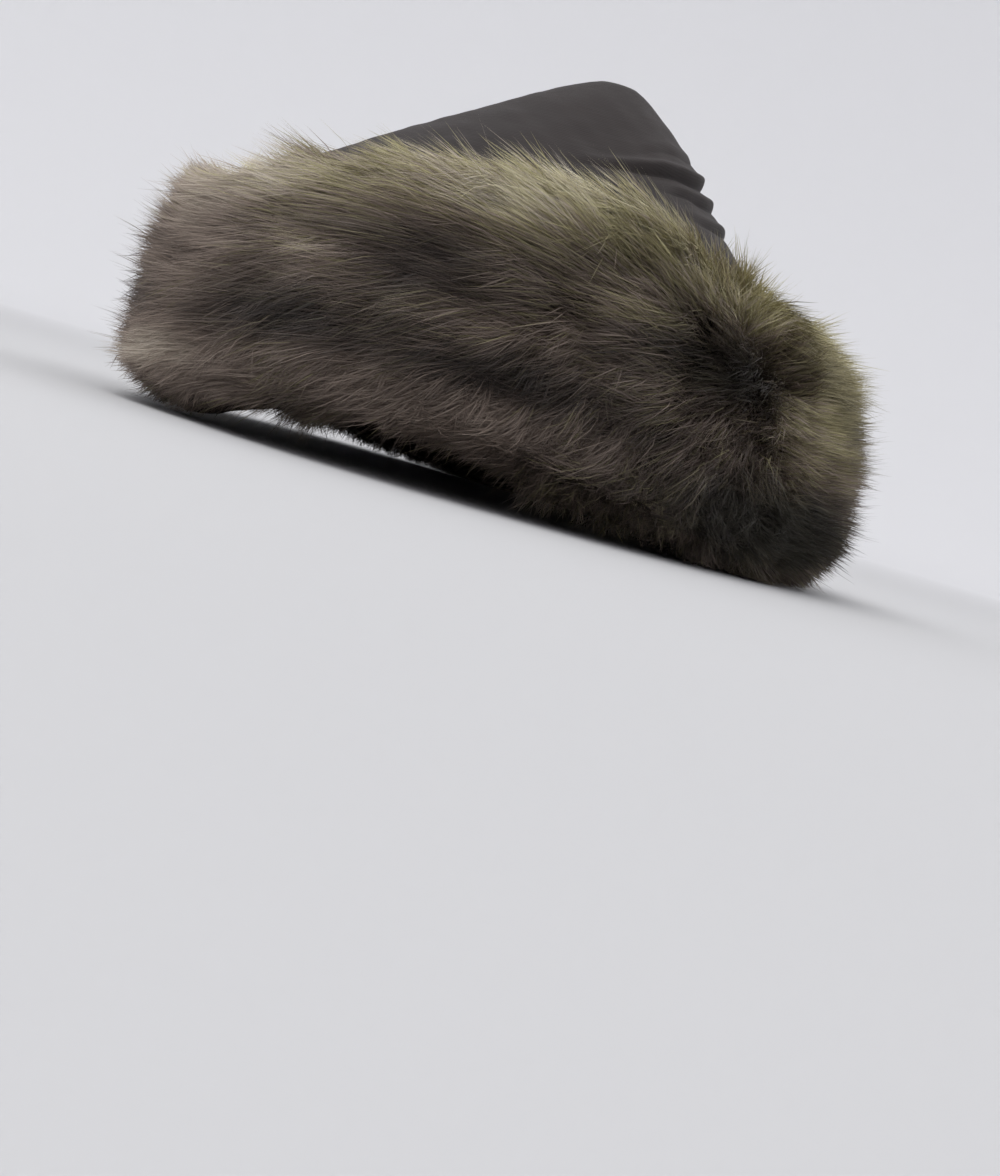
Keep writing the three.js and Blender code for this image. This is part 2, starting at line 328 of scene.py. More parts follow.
def height_share(run):
    """How far up the cuff's cross-section a run is, from 0 at the foot to 1 at the crest."""
    return np.interp(np.mod(run, AROUND), OUTLINE[:, 0], OUTLINE[:, 2])


def cuff_point(turn, run):
    """The cuff's padded form: the head oval moved out by the cloth and out x reach, at foot + up x height."""
    run = np.mod(run, AROUND)
    out = np.interp(run, OUTLINE[:, 0], OUTLINE[:, 1])
    up = np.interp(run, OUTLINE[:, 0], OUTLINE[:, 2])
    foot, crest, reach = (section_at(turn, column) for column in range(3))
    return oval_point(turn, CLOTH_WALL + out * reach, foot + (crest - foot) * up)


def cuff_frame(turn, run):
    """Point, unit vector ahead (against the turn), unit vector up the section, and the normal, from steps of
    0.004 radians and 0.8 mm to each side. Also the mm in one radian of turn."""
    small = 0.004
    by_turn = cuff_point(turn + small, run) - cuff_point(turn - small, run)
    by_run = cuff_point(turn, run + 0.8) - cuff_point(turn, run - 0.8)
    normal = unit(np.cross(by_turn, by_run))
    ahead = -unit(by_turn)
    per_radian = np.linalg.norm(by_turn, axis=-1) / (2 * small)
    return cuff_point(turn, run), ahead, np.cross(normal, ahead), normal, per_radian


def crown_spread(rise, front):
    """How wide the crown still is at a rise: (1 - rise)^(1 / slope), with a hyperbola's rounded tip."""
    blunt = PEAK_BLUNTNESS
    slope = mix(SLOPE_BACK, SLOPE_FRONT, front)
    sharp = np.clip(1 - rise, 0, 1) ** (1 / slope) * (math.sqrt(1 + blunt**2) - blunt)
    return np.sqrt((sharp + blunt) ** 2 - blunt**2)


def crown_surface(turn, level):
    """The cloth without folds. The level is -1 at the hem, 0 at the shoulder and 1 at the peak: the head
    oval up to the shoulder, and then the oval drawn in towards the peak, which is set back."""
    front = (1 + np.cos(turn)) / 2
    shoulder = mix(SHOULDER_BACK, SHOULDER_FRONT, front)
    hem = section_at(turn, 0) + HEM_LIFT
    climb = np.clip(level, 0, 1)
    rise = climb - FOLD_DROOP * front * climb * (1 - climb)
    spread = crown_spread(rise, front)
    edge = oval_point(turn, CLOTH_WALL, 0.0)
    height = np.where(level < 0, mix(shoulder, hem, -level), mix(shoulder, PEAK_HEIGHT, rise))
    return np.stack([edge[..., 0] * spread, PEAK_BACK + (edge[..., 1] - PEAK_BACK) * spread, height], axis=-1)


def fold_depth(turn, level):
    """The draped folds, in mm outwards. Each crease is a cut that the cloth leaves quickly above it, as
    e^(-away / tuck), and slowly below it, as e^(-away / lip), with a hanging roll above that swells as a
    bell. A crease droops by the square of how far forward it has come."""
    degrees = np.degrees(np.arccos(np.cos(turn)))
    forward = np.clip((1 + np.cos(turn)) / 2 - DROOP_FROM, 0, None) ** 2
    wander = 0.004 * np.sin(3 * turn + 0.4) + 0.003 * np.sin(7 * turn + 2.0)
    depth = np.zeros(np.broadcast(turn, level).shape)
    for at, deep, droop, begins, whole in CREASES:
        away = level - at + droop * forward - wander
        above = np.exp(-np.clip(away, 0, None) / TUCK_LENGTH)
        below = np.exp(-np.clip(-away, 0, None) / LIP_LENGTH)
        roll = bell(away, 0.032, 0.02)
        depth += ease(degrees, begins, whole) * deep * (0.8 * roll - np.where(away > 0, above, below))
    return depth


def soft_waves(points, seed, scale, count=10):
    """Smooth noise from -1 to 1: a sum of sines along random directions, with wavelengths near scale mm."""
    rng = np.random.default_rng(seed)
    waves = unit(rng.normal(size=(count, 3))) * (FULL_TURN / scale * rng.uniform(0.6, 1.5, (count, 1)))
    return np.sin(points @ waves.T + rng.uniform(0, FULL_TURN, count)).sum(-1) / math.sqrt(count)


def crown_cloth(turn, level, inwards, fold_strength):
    """The finished cloth, some way in from its outside: the surface moved along its normal by the folds and
    by soft dents that fade out towards the peak and the hidden wall."""
    small = 0.004
    by_turn = crown_surface(turn + small, level) - crown_surface(turn - small, level)
    by_level = crown_surface(turn, np.minimum(level + small, 0.999)) - crown_surface(turn, level - small)
    points = crown_surface(turn, level)
    shown = ease(level, 0.02, 0.2) * (1 - ease(level, 0.86, 0.98))
    dents = 0.38 * soft_waves(points, 3, 46) + 0.14 * soft_waves(points * (1, 1, 2.2), 8, 15)
    move = fold_strength * fold_depth(turn, level) + shown * dents - inwards
    return points + unit(np.cross(by_turn, by_level)) * move[..., None]


def to_row(points):
    """Millimetres about the middle of the opening, to metres in the row frame."""
    return np.asarray(points) * MM + MIDDLE


def new_object(name, points, faces, uv, material):
    """A mesh object from arrays: its points, groups of faces with a row of corners for each face, and a UV
    place for each corner."""
    corners = np.concatenate([group.ravel() for group in faces])
    sizes = np.concatenate([np.full(len(group), group.shape[1]) for group in faces])
    mesh = bpy.data.meshes.new(name)
    mesh.vertices.add(len(points))
    mesh.vertices.foreach_set("co", to_row(points).astype(np.float32).ravel())
    mesh.loops.add(len(corners))
    mesh.loops.foreach_set("vertex_index", corners.astype(np.int32))
    mesh.polygons.add(len(sizes))
    mesh.polygons.foreach_set("loop_start", (np.cumsum(sizes) - sizes).astype(np.int32))
    mesh.update(calc_edges=True)
    if mesh.validate():
        raise RuntimeError(f"{name} has faces that aren't valid")
    mesh.polygons.foreach_set("use_smooth", np.ones(len(sizes), bool))
    layer = mesh.uv_layers.new(name="OFBake")
    layer.data.foreach_set("uv", uv.astype(np.float32).ravel())
    mesh.materials.append(material)
    piece = bpy.data.objects.new(name, mesh)
    bpy.context.scene.collection.objects.link(piece)
    return piece


def loop_grid(rows, columns):
    """Faces of a grid whose columns close on themselves: quads with their corners, and for each corner its
    row and column, where the last column ends at the first."""
    row, column = np.meshgrid(np.arange(rows - 1), np.arange(columns), indexing="ij")
    rows_of = np.stack([row, row, row + 1, row + 1], axis=-1).reshape(-1, 4)
    columns_of = np.stack([column, column + 1, column + 1, column], axis=-1).reshape(-1, 4)
    return rows_of * columns + columns_of % columns, rows_of, columns_of


def fan_faces(pole, first, second):
    """Triangles from a pole to each pair of corners."""
    return np.column_stack([np.full(len(first), pole), first, second])


class Nodes:
    """A short way to add nodes to a material or a group and to join them."""

    def __init__(self, tree):
        self.tree = tree

    def feed(self, node, inputs):
        """Joins sockets to a node's inputs, or sets them to values."""
        for name, value in inputs.items():
            if isinstance(value, bpy.types.NodeSocket):
                self.tree.links.new(value, node.inputs[name])
            else:
                node.inputs[name].default_value = value

    def add(self, kind, inputs=None, **settings):
        node = self.tree.nodes.new(kind)
        for name, value in settings.items():
            setattr(node, name, value)
        self.feed(node, inputs or {})
        return node

    def maths(self, kind, a, b=0.0, clamp=False):
        return self.add("ShaderNodeMath", {0: a, 1: b}, operation=kind, use_clamp=clamp).outputs[0]

    def weighed(self, a, share, b):
        """share x a + b."""
        return self.maths("ADD", self.maths("MULTIPLY", a, share), b)

    def blend(self, share, a, b, kind="MIX"):
        # Inputs 0, 6 and 7 are the factor and the two colours, and output 2 is the colour.
        inputs = {0: share, 6: a, 7: b}
        return self.add("ShaderNodeMix", inputs, data_type="RGBA", blend_type=kind).outputs[2]

    def ramp(self, share, stops, smooth=False):
        node = self.add("ShaderNodeValToRGB", {"Fac": share})
        ramp = node.color_ramp
        ramp.interpolation = "EASE" if smooth else "LINEAR"
        for _ in stops[2:]:
            ramp.elements.new(0.5)
        for element, (place, colour) in zip(ramp.elements, stops):
            element.position = place
            element.color = (*(colour if isinstance(colour, tuple) else [colour] * 3), 1.0)
        return node.outputs["Color"]

    def noise(self, vector, scale, detail=2.0, roughness=0.5):
        inputs = {"Vector": vector, "Scale": scale, "Detail": detail, "Roughness": roughness}
        return self.add("ShaderNodeTexNoise", inputs).outputs["Fac"]


def new_material(name):
    """A material, its node helper and its Principled BSDF."""
    material = bpy.data.materials.new(name)
    material.use_nodes = True
    shader = next(n for n in material.node_tree.nodes if n.type == "BSDF_PRINCIPLED")
    return material, Nodes(material.node_tree), shader


def linear(red, green, blue):
    """A screen colour in 0 to 255 as linear light."""
    values = np.array([red, green, blue]) / 255
    values = np.where(values <= 0.04045, values / 12.92, ((values + 0.055) / 1.055) ** 2.4)
    return tuple(float(v) for v in values)


def weave_group():
    """Node group: a fine cloth surface. Warp and weft are two bands across a UV place in mm, broken up by
    noise, and pull lines are noise drawn out along the weft."""
    if "Hat weave" in bpy.data.node_groups:
        return bpy.data.node_groups["Hat weave"]
    group = bpy.data.node_groups.new("Hat weave", "ShaderNodeTree")
    for name, kind in (("Place", "NodeSocketVector"), ("Pitch", "NodeSocketFloat")):
        group.interface.new_socket(name=name, in_out="INPUT", socket_type=kind)
    for name in ("Height", "Shade"):
        group.interface.new_socket(name=name, in_out="OUTPUT", socket_type="NodeSocketFloat")
    nodes = Nodes(group)
    inputs = nodes.add("NodeGroupInput")
    outputs = nodes.add("NodeGroupOutput")
    place, pitch = inputs.outputs["Place"], inputs.outputs["Pitch"]
    per_mm = nodes.maths("DIVIDE", 1.0, pitch)
    threads = nodes.add("ShaderNodeVectorMath", {0: place, "Scale": per_mm}, operation="SCALE")
    wave_inputs = {"Vector": threads.outputs[0], "Scale": 0.32, "Distortion": 0.6, "Detail": 1.0}
    weft = nodes.add("ShaderNodeTexWave", wave_inputs, bands_direction="Y")
    warp = nodes.add("ShaderNodeTexWave", wave_inputs, bands_direction="X")
    crossing = nodes.maths("MAXIMUM", weft.outputs["Fac"], nodes.maths("MULTIPLY", warp.outputs["Fac"], 0.8))
    drawn_out = nodes.add("ShaderNodeMapping", {"Vector": place, "Scale": (0.035, 0.55, 1.0)})
    pulls = nodes.noise(drawn_out.outputs["Vector"], 1.0, 4.0, 0.62)
    for name, share in (("Height", 0.3), ("Shade", 0.25)):
        nodes.feed(outputs, {name: nodes.weighed(crossing, share, pulls)})
    return group


def cloth_material(colour, pitch, across, along):
    """Dark matt cloth with a soft sheen: woven bands and pull lines on the piece's own UV place, and broad
    darker and lighter patches on object coordinates."""
    material, nodes, shader = new_material("crown cloth")
    own_place = nodes.add("ShaderNodeUVMap", uv_map="OFBake")
    in_mm = nodes.add("ShaderNodeMapping", {"Vector": own_place.outputs["UV"], "Scale": (across, along, 1.0)})
    place = {"Place": in_mm.outputs["Vector"], "Pitch": pitch}
    weave = nodes.add("ShaderNodeGroup", place, node_tree=weave_group())
    threads = weave.outputs["Shade"]
    patches = nodes.noise(nodes.add("ShaderNodeTexCoord").outputs["Object"], 19.0, 3.0, 0.55)
    shade = nodes.weighed(patches, 0.6, nodes.maths("MULTIPLY", threads, 0.4))
    dark, light = (tuple(c * share for c in colour) for share in (0.72, 1.32))
    bump_inputs = {"Strength": 0.28, "Distance": 0.0006, "Height": weave.outputs["Height"]}
    shader_inputs = {
        "Base Color": nodes.ramp(shade, [(0.3, dark), (0.72, light)]),
        "Roughness": nodes.weighed(threads, 0.2, 0.52),
        "Normal": nodes.add("ShaderNodeBump", bump_inputs).outputs["Normal"],
        "Sheen Weight": 0.05,
        "Sheen Roughness": 0.5,
        "Sheen Tint": (0.9, 0.84, 0.8, 1.0),
        "Specular IOR Level": 0.16,
    }
    nodes.feed(shader, shader_inputs)
    return material


def even_stops(*colours):
    """Stops of a colour ramp, from screen colours at even places."""
    return [(number / (len(colours) - 1), linear(*colour)) for number, colour in enumerate(colours)]


# Colours of the fur's tips from dark to light, in the grey-brown and in the khaki family.
GREY_BROWN = even_stops((38, 34, 32), (88, 77, 70), (146, 131, 119), (192, 180, 164), (228, 219, 205))
KHAKI = even_stops((40, 38, 31), (94, 87, 70), (153, 145, 108), (198, 191, 148), (234, 227, 198))


def fur_material():
    """Fur whose colour depends only on its UV place: u picks the tone, grey-brown in the left half and
    khaki in the right half, and v runs from the dark root to the tip."""
    material, nodes, shader = new_material("fur hair")
    own_place = nodes.add("ShaderNodeUVMap", uv_map="OFBake")
    split = nodes.add("ShaderNodeSeparateXYZ", {"Vector": own_place.outputs["UV"]})
    half = [(0.5 * place, colour) for place, colour in GREY_BROWN]
    half[-1] = (0.499, half[-1][1])
    other = [(0.5 + 0.5 * place, colour) for place, colour in KHAKI]
    other[0] = (0.501, other[0][1])
    tip = nodes.ramp(split.outputs["X"], half + other)
    root = nodes.blend(1.0, tip, (0.48, 0.45, 0.43, 1.0), "MULTIPLY")
    along = nodes.ramp(split.outputs["Y"], [(0.08, 0.0), (0.5, 0.62), (0.8, 1.0)])
    base = nodes.blend(along, root, tip)
    nodes.feed(shader, {"Base Color": base, "Roughness": 0.5, "Specular IOR Level": 0.28})
    return material


def underfur_material():
    """The dark close underfur: two sizes of noise on object coordinates."""
    material, nodes, shader = new_material("underfur")
    place = nodes.add("ShaderNodeTexCoord").outputs["Object"]
    mottle = nodes.maths("MULTIPLY", nodes.noise(place, 60.0, 3.0), nodes.noise(place, 900.0, 2.0))
    base = nodes.ramp(mottle, [(0.1, linear(22, 19, 17)), (0.45, linear(50, 44, 39))])
    bump = nodes.add("ShaderNodeBump", {"Strength": 0.6, "Distance": 0.0015, "Height": mottle})
    nodes.feed(shader, {"Base Color": base, "Normal": bump.outputs["Normal"]})
    nodes.feed(shader, {"Roughness": 0.9, "Specular IOR Level": 0.1})
    return material


class HatCrownSettings(PropertyGroup):
    colour: FloatVectorProperty(
        name="Cloth colour", description="Colour of the crown's cloth",
        subtype="COLOR", size=3, min=0, max=1, default=linear(38, 33, 32),
    )
    fold_strength: FloatProperty(
        name="Fold depth", description="How deep the draped folds are, as a share of the modelled depth",
        subtype="FACTOR", default=1.0, min=0.0, max=2.0,
    )
    weave_pitch: FloatProperty(
        name="Weave pitch", description="Distance from one thread to the next",
        unit="LENGTH", default=0.0009, min=0.0002, max=0.005, precision=5,
    )


class HatFurSettings(PropertyGroup):
    hair_length: FloatProperty(
        name="Hair length", description="Length of a typical hair",
        unit="LENGTH", default=0.0215, min=0.005, max=0.05,
    )
    hair_width: FloatProperty(
        name="Hair width", description="Width of a hair at its thickest",
        unit="LENGTH", default=0.00023, min=0.0001, max=0.002, precision=5,
    )
    lock_rows: IntProperty(
        name="Rows of locks", description="Rows of locks from the foot of the cuff to its crest",
        default=15, min=4, max=16,
    )
    locks_in_row: IntProperty(
        name="Locks in a row", description="Locks in each row, all round the hat",
        default=64, min=12, max=66,
    )


class HatStageSettings(PropertyGroup):
    floor_colour: FloatVectorProperty(
        name="Floor colour", description="Colour of the pale floor and its raised rim",
        subtype="COLOR", size=3, min=0, max=1, default=linear(194, 194, 195),
    )
    sky_strength: FloatProperty(
        name="Soft light", description="Strength of the even light from all round",
        default=1.0, min=0.0, max=5.0,
    )
    key_power: FloatProperty(
        name="Key light", description="Power of the large light above",
        unit="POWER", default=7.5, min=0.0, max=500.0,
    )
    camera_turn: FloatProperty(
        name="Camera turn", description="Where the camera stands, from the front towards the hat's left",
        subtype="ANGLE", default=math.radians(50.0),
    )
    camera_distance: FloatProperty(
        name="Camera distance", description="From the camera to the middle of the hat",
        unit="LENGTH", default=0.6, min=0.3, max=3.0,
    )
    camera_height: FloatProperty(
        name="Camera height", description="Height of the camera above the floor",
        unit="LENGTH", default=0.022, min=0.005, max=1.0,
    )
    camera_roll: FloatProperty(
        name="Camera roll", description="How far the picture is rolled, so that the hat's back sinks",
        subtype="ANGLE", default=math.radians(16.5),
    )


def finish_piece(piece, slot_name, *replaced):
    """Hangs a piece on the hat's one body and says which finish and which CAD nodes it stands for."""
    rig.ride(piece, "root")
    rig.slot(piece, slot_name)
    if replaced:
        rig.replaces(piece, *replaced)


class HAT_OT_crown(Operator):
    """Build the cloth crown: one sheet of cloth with an outside and an inside that meet at the hem"""

    bl_idname = "hat.crown"
    bl_label = "Cloth crown"

    COLUMNS = 352
    WALL_ROWS = 8
    SLOPE_ROWS = 150
    INSIDE_ROWS = 20

    def execute(self, context):
        settings = context.scene.hat_crown
        turns = np.arange(self.COLUMNS) / self.COLUMNS * FULL_TURN
        # Rows crowd where the folds are: the levels follow a smooth density with more weight there.
        fine = np.linspace(0, 0.985, 2000)
        weight = 1 + 3 * ease(fine, 0.34, 0.44) * (1 - ease(fine, 0.76, 0.84))
        climb = np.interp(np.linspace(0, 1, self.SLOPE_ROWS), np.cumsum(weight) / weight.sum(), fine)
        climb[0] = 0
        outside = np.concatenate([np.linspace(-1, 0, self.WALL_ROWS)[:-1], climb])
        inside = np.concatenate([np.linspace(-1, 0, 6)[:-1], np.linspace(0, 0.97, self.INSIDE_ROWS)])
        levels = np.concatenate([inside[::-1], outside])
        inwards = np.concatenate([np.full(len(inside), CLOTH_WALL), np.zeros(len(outside))])
        grid = crown_cloth(turns[None, :], levels[:, None], inwards[:, None], settings.fold_strength)
        rows = len(levels)
        points = grid.reshape(-1, 3)
        quads, rows_of, columns_of = loop_grid(rows, self.COLUMNS)
        # Length along the cloth from the inner pole to the outer one, as a share, is the UV's v.
        steps = np.linalg.norm(np.diff(grid, axis=0), axis=-1).mean(1)
        length = np.concatenate([[0], np.cumsum(steps)])
        share = length / length[-1]
        uv = np.stack([columns_of / self.COLUMNS, 0.01 + 0.98 * share[rows_of]], axis=-1).reshape(-1, 2)
        # The two poles are closed by fans.
        inner_pole, last_row = len(points), (rows - 1) * self.COLUMNS
        points = np.vstack([points, grid[0].mean(0), grid[-1].mean(0) + (0, 0, 0.25)])
        column = np.arange(self.COLUMNS)
        following = (column + 1) % self.COLUMNS
        low_fan = fan_faces(inner_pole, following, column)
        high_fan = fan_faces(inner_pole + 1, last_row + column, last_row + following)
        u = np.column_stack([column + 0.5, column + 1, column]) / self.COLUMNS
        v = np.repeat([(0.0, 0.01, 0.01), (1.0, 0.99, 0.99)], self.COLUMNS, axis=0)
        fan_uv = np.stack([np.vstack([u, u[:, [0, 2, 1]]]), v], axis=-1).reshape(-1, 2)
        round_length = float(np.linalg.norm(np.roll(grid, -1, 1) - grid, axis=-1).sum(1).max())
        pitch = settings.weave_pitch / MM
        material = cloth_material(tuple(settings.colour), pitch, round_length, float(length[-1]))
        faces = (quads, low_fan, high_fan)
        piece = new_object("crown_cloth", points, faces, np.vstack([uv, fan_uv]), material)
        finish_piece(piece, "crown_cloth", "crown")
        # The cut: a band 568 mm round and 175 mm high, with the gores' waste cut away above the head line.
        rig.sheet(piece, flat=(0.568, 0.175), held="gathered", rests_on=["underfur"], area=0.074)
        return {"FINISHED"}


UNDERFUR_DEPTH = 6.5  # mm inside the padded form
DEEPER_IF_ERECT = 3.0
DEEPER_OVER_ARCH = 5.0


def cuff_inset(turn, run):
    """How far the underfur lies inside the cuff's padded form, and how far its inner top is lowered to match:
    deeper where the hair is erect, at the foot where that is off the floor, and where the hair's outer form
    is drawn in. The rest of the inner wall stays."""
    inner = ease(run, run_at(0.74), run_at(0.84))
    high = height_share(run)
    loss = np.clip(1.0 - proud_at(turn, high), 0, 10)
    over_arch = DEEPER_OVER_ARCH * arch_share(turn) * (1 - ease(high, 0.0, 0.25))
    depth = UNDERFUR_DEPTH + DEEPER_IF_ERECT * erect_share(turn) + 0.8 * loss + over_arch
    inset = depth * ease(run, run_at(0.06), run_at(0.2)) * (1 - inner)
    return inset, depth * inner * (1 - ease(run, run_at(0.85), run_at(0.97)))


class HAT_OT_underfur(Operator):
    """Build the padded roll of close dark underfur that the long hair grows from"""

    bl_idname = "hat.underfur"
    bl_label = "Underfur"

    COLUMNS = 360
    ROWS = 84

    def execute(self, context):
        turns = np.arange(self.COLUMNS) / self.COLUMNS * FULL_TURN
        runs = np.arange(self.ROWS) / self.ROWS * AROUND
        turn, run = np.meshgrid(turns, runs)
        point, _, _, normal, _ = cuff_frame(turn, run)
        inset, lowered = cuff_inset(turn, run)
        lumps = 0.22 * soft_waves(point, 5, 9) * inset
        points = point - normal * (inset + lumps)[..., None]
        points[..., 2] = np.maximum(points[..., 2] - lowered, 0.2)
        points = points.reshape(-1, 3)
        quads, rows_of, columns_of = loop_grid(self.ROWS + 1, self.COLUMNS)
        # The row after the last is the first again.
        quads = quads % len(points)
        uv = np.stack([columns_of / self.COLUMNS, rows_of / self.ROWS], axis=-1).reshape(-1, 2)
        piece = new_object("underfur", points, (quads,), uv, underfur_material())
        finish_piece(piece, "fur", "fur_cuff")
        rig.padded(piece, fill=0.6)
        return {"FINISHED"}


# How the hair gathers, from locks to clumps, wisps and single hairs: how many in each, its radius in mm,
# their spread of fan and of lift in degrees, of length and of tone, how far they gather at the tip, how far
# its middle stands up in mm, and how much darker its rim is, which is painted shade in the partings between them.
GATHERINGS = (
    # count, radius, fan, lift, length, tone, gather, ridge, darker
    (14, 8.5, 9.0, 5.0, 0.12, 0.04, 0.22, 2.6, 0.05),
    (5, 2.9, 6.5, 4.0, 0.12, 0.03, 0.32, 0.8, 0.0),
    (6, 1.5, 6.5, 5.0, 0.24, 0.03, 0.35, 0.0, 0.0),
)
STATIONS = np.array([0.0, 0.52, 1.0])
TALLEST_RIDGE = 3.4  # mm that the middles of a lock and of a clump may stand up together
SINKING = 0.35  # how much a hair bends over towards its tip, as a share of its rise
SAG = 0.06  # of its length, how far a straight hair's tip sags
BROW = run_at(0.655)  # past this a hair goes straight on, off the padded form
FORM_START = run_at(0.06)  # no hair follows the padded form before this
LAST_ROOT = run_at(0.78)  # and no root lies past this
GUARD_SHARE = 0.2  # of the hairs are guard hairs: thinner, paler, shorter and more erect
CROWN_CLEARANCE = 0.6  # mm
# The least and the most that each may be: depth of a lock's roots in mm, lift in degrees, length in mm.
ROOT_DEPTHS = (3.0, 19.0)
LIFTS = (3.0, 75.0)
LENGTHS = (7.0, 38.0)
PARTING = 90.0  # degrees from the front: the hair ahead of it lies forwards, and behind it backwards
PARTING_WIDTH = 27.0  # degrees on each side, over which the hair turns
MEETING = 255.0  # where the two lie against each other again, on the far side
MEETING_WIDTH = 25.0
FAN_AT_FOOT = -48.0  # degrees up from straight ahead
USUAL_LIFT = 14.0  # degrees off the padded form
PARTING_LIFT = 52.0
ERECT_LIFT = 15.0  # more round the back

# Soft patches of tone and of khaki: turn, height in mm, half-width in degrees, half-height in mm, change of
# tone, change of khaki. They are mirrored to the far side. The changes of tone are partly the fur's own
# colour and partly painted light and shade: darker where shade falls, low towards the back and in a shadow
# line under a layer of tufts, and lighter where light falls on the top.
PATCHES = (
    (-10.0, 54.0, 20.0, 22.0, 0.30, -0.80),
    (0.0, 85.0, 22.0, 11.0, -0.40, -0.20),
    (0.0, 16.0, 15.0, 8.0, 0.40, -1.50),
    (27.0, 53.0, 5.5, 4.0, 0.38, 0.0),
    (44.0, 57.0, 10.0, 9.0, -0.20, -0.1),
    (50.0, 46.0, 8.0, 4.5, 0.17, -0.1),
    (26.0, 33.0, 15.0, 7.0, -0.22, 0.0),
    # Painted shadow: a dark line under a layer of tufts.
    (58.0, 34.0, 16.0, 6.0, -0.28, 0.0),
    (50.0, 20.0, 24.0, 7.0, 0.14, -0.5),
    (66.0, 76.0, 11.0, 8.0, -0.10, 0.30),
    (51.0, 80.0, 8.0, 7.0, 0.36, -0.15),
    (60.0, 90.0, 9.0, 5.0, 0.26, 0.15),
    (15.0, 72.0, 12.0, 9.0, 0.22, -0.15),
    (87.0, 77.0, 9.0, 8.0, 0.34, 0.15),
    (70.0, 62.0, 8.0, 5.0, 0.20, 0.45),
    (84.0, 54.0, 10.0, 10.0, -0.34, 0.35),
    (108.0, 46.0, 11.0, 12.0, 0.28, 0.15),
    (106.0, 84.0, 12.0, 8.0, -0.20, 1.2),
    (122.0, 62.0, 18.0, 16.0, 0.06, 1.4),
    # Painted shade: darker low towards the back, where less light falls.
    (106.0, 16.0, 22.0, 12.0, -0.50, 1.0),
)

# How far the hair's outer form stands out from the padded form, in mm, at turns in degrees and shares of the
# height from the foot to the crest.
PROUD_SHARES = (0.0, 0.2, 0.5, 0.8, 1.0)
PROUD = (
    (-90, 0.0, 0.0, 0.0, 0.0, 2.0),
    (-26, -4.0, -4.5, -6.0, -3.0, 6.0),
    (10, -4.0, -3.0, -2.0, -0.5, 7.2),
    (38, -0.5, 0.5, 1.0, 2.0, 3.0),
    (74, 0.0, 0.5, 1.0, 3.5, 5.5),
    (98, 0.0, 0.5, 1.0, 2.0, 4.0),
    (112, 1.0, 1.5, 0.0, 0.0, 0.5),
    (128, -1.0, 2.5, -2.4, -2.0, -2.0),
    (180, 1.0, 2.0, -0.5, -1.0, 0.0),
    (230, 0.0, 1.0, 0.0, 1.0, 3.0),
    (270, 0.0, 0.0, 0.0, 0.0, 2.0),
)


def combed(turn, run):
    """Which way the hair lies: the share ahead and the share up, in units of its length, and the lift in
    degrees. Ahead is cut to nothing at the parting and at the meeting. Up follows a fan from downwards at
    the foot to upwards at the crest, which opens towards the parting."""
    degrees = wrapped(turn, MEETING - 360.0)
    high = np.maximum(height_share(run), 0)
    # The parting curves back at mid-height and at the crest.
    parting = PARTING + 17 * bell(high, 0.5, 0.34) + 15 * ease(high, 0.75, 1.0)
    past_meeting, to_meeting = degrees - (MEETING - 360.0), MEETING - degrees
    ahead = np.clip((parting - degrees) / PARTING_WIDTH, -1, 1)
    ahead *= np.clip(past_meeting / MEETING_WIDTH, 0, 1) * np.clip(to_meeting / MEETING_WIDTH, 0, 1)
    # By rise degrees the fan turns up from foot to crest, less so next to the parting.
    opening = 1 + 0.45 * ease(degrees, 15, 90) * (1 - ease(degrees, 200, 240))
    rise = mix(58, 78, ease(degrees, 5, 60) * (1 - ease(degrees, 215, 245)))
    rise = rise - 20 * bell(degrees, 80, 24.0)
    fan = np.radians((FAN_AT_FOOT + rise * high ** mix(2.2, 1.4, ease(degrees, 60, 98))) * opening)
    up = np.sin(fan) - 0.9 * bell(np.mod(degrees - MEETING + 180, 360) - 180, 0, 22.0)
    ahead = ahead * np.cos(fan)
    strength = np.hypot(ahead, up)
    front = 1 - ease(np.abs(degrees), 14, 46)
    # The crest is lifted more, most of all at the front.
    lift = USUAL_LIFT + (7 + 8 * front) * ease(high, 0.6, 0.95) + ERECT_LIFT * erect_share(turn)
    lift = mix(PARTING_LIFT, lift, ease(strength, 0.0, 0.9))
    return ahead, up, lift


def erect_share(turn):
    """How erect the hair stands: 0 over the front and the sides, and 1 round the back."""
    degrees = wrapped(turn, -60.0)
    return ease(degrees, 80, 122) * (1 - ease(degrees, 208, 242))


def arch_share(turn):
    """1 where the cuff's foot is up off the floor, and 0 where it rests."""
    return ease(section_at(turn, 0), 3.0, 9.0)


def proud_at(turn, high):
    """How far the hair's outer form stands out from the padded form, in mm: PROUD between its rows and
    columns, with eased steps."""
    degrees = wrapped(turn, PROUD[0][0])
    share = np.clip(high, 0, 1)
    rows = np.stack([np.interp(share, PROUD_SHARES, row[1:]) for row in PROUD])
    proud = rows[0]
    for row in range(1, len(PROUD)):
        proud = proud + (rows[row] - rows[row - 1]) * ease(degrees, PROUD[row - 1][0], PROUD[row][0])
    return proud


